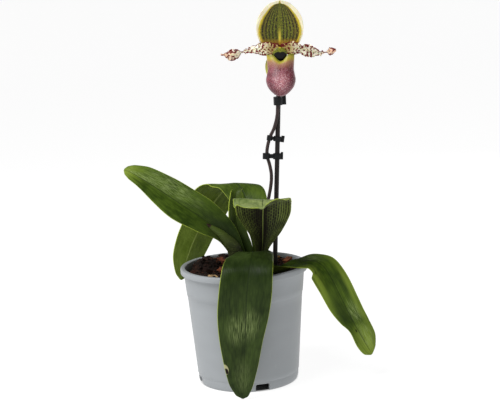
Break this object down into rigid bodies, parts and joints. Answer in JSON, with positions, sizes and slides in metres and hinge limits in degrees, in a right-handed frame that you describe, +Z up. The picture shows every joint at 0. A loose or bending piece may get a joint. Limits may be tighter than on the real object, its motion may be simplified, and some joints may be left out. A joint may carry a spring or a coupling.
{
  "type": "potted slipper orchid",
  "caption": "Slipper orchid in flower in a round nursery pot: arching strap leaves, a staked stem held by clips, and a flower with a hooded sepal, twisted petals and a pouch.",
  "frame": {"origin": "the middle of the whole plant's box seen from above, on the surface that the pot stands on", "axes": "+Z is up, along the flower stem; -Y is the front, the way the flower looks; +X is on the right of a viewer in front"},
  "size_m": [0.2268, 0.1525, 0.3562],
  "materials": {
    "pot": "light blue-grey moulded polypropylene, satin",
    "crown": "olive and brown leaf bases, waxy",
    "stake": "dark brown stained bamboo, satin",
    "stem": "dark purple-brown, finely hairy",
    "clip": "black moulded plastic",
    "leaf": "waxy green leaf with faint veins and lighter margins",
    "dark_leaf": "waxy leaf with a purple-black netted underside and a pale green keel",
    "bark": "red-brown to tan bark chips, rough",
    "compost": "dark moist bark compost, rough",
    "column": "yellow-green, waxy",
    "staminode": "glossy green shield with a maroon-black heart",
    "ovary": "purple-brown and green, finely hairy",
    "bract": "dark green-brown, papery",
    "dorsal_sepal": "green with maroon-dotted veins, a yellow band and a cream margin",
    "synsepal": "yellow-green with faint veins",
    "petal": "cream with maroon blotches and wavy hairy margins",
    "pouch": "waxy rose-mauve, finely freckled, with a yellow-green rim"
  },
  "bodies": {
    "root": {"pot": "pot", "crown": "crown", "stake": "stake", "flower_stem": "stem", "lower_clip": "clip", "middle_clip": "clip", "upper_clip": "clip", "left_leaf": "leaf", "front_leaf": "leaf", "right_leaf": "leaf", "back_leaf": "leaf", "centre_leaf": "leaf", "dark_leaf": "dark_leaf", "bark_chip_1": "bark", "bark_chip_2": "bark", "bark_chip_3": "bark", "bark_chip_4": "bark", "bark_chip_5": "bark", "bark_chip_6": "bark", "bark_chip_7": "bark", "bark_chip_8": "bark", "bark_chip_9": "bark", "bark_chip_10": "bark", "compost": "compost", "column": "column", "staminode": "staminode", "ovary": "ovary", "bract": "bract", "dorsal_sepal": "dorsal_sepal", "synsepal": "synsepal", "left_petal": "petal", "right_petal": "petal", "pouch": "pouch"}
  },
  "joints": []
}
